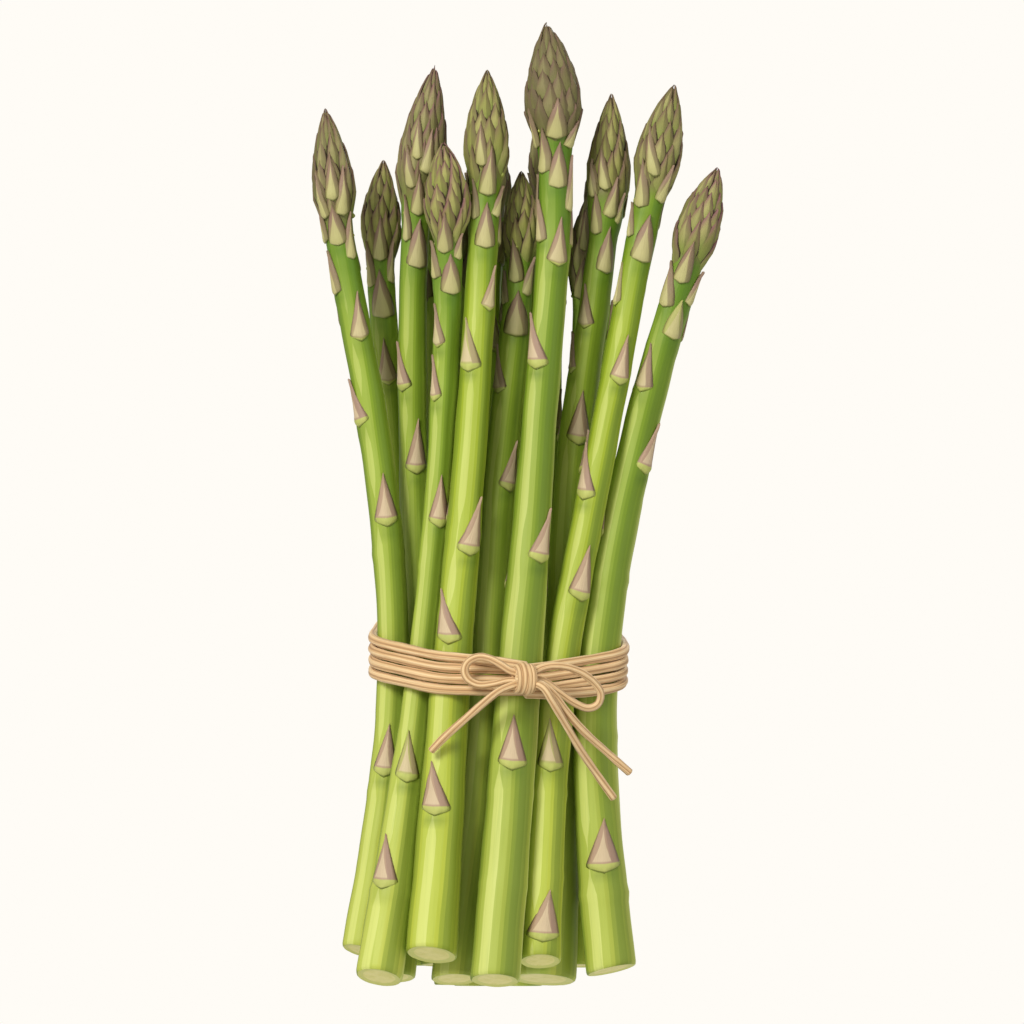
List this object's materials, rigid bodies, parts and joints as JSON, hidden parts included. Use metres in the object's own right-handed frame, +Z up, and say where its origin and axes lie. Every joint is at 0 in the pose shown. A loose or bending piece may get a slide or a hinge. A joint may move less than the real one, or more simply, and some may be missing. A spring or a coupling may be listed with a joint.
{
  "type": "asparagus bundle",
  "caption": "Bundle of green asparagus spears standing on their cut ends, tied at the waist with raffia twine in a bow.",
  "frame": {"origin": "on the surface that the bundle stands on, under the middle of its box without the bow's cords", "axes": "+Z up along the spears, -Y towards the bow at the front, +X to the right as the bow is looked at"},
  "size_m": [0.0979, 0.065, 0.2308],
  "materials": {
    "asparagus_skin": "fresh waxy plant skin, green",
    "twine": "dry fibrous raffia, straw colour"
  },
  "bodies": {
    "root": {"spear_01": "asparagus_skin", "spear_02": "asparagus_skin", "spear_03": "asparagus_skin", "spear_04": "asparagus_skin", "spear_05": "asparagus_skin", "spear_06": "asparagus_skin", "spear_07": "asparagus_skin", "spear_08": "asparagus_skin", "spear_09": "asparagus_skin", "spear_10": "asparagus_skin", "spear_11": "asparagus_skin", "spear_12": "asparagus_skin", "spear_13": "asparagus_skin", "spear_14": "asparagus_skin", "spear_15": "asparagus_skin", "spear_16": "asparagus_skin", "spear_17": "asparagus_skin", "spear_18": "asparagus_skin", "spear_19": "asparagus_skin", "twine_wrap": "twine", "twine_knot": "twine", "bow_loop_left": "twine", "bow_loop_right": "twine", "twine_tail_left": "twine", "twine_tail_right": "twine", "twine_tail_spare": "twine"}
  },
  "joints": []
}
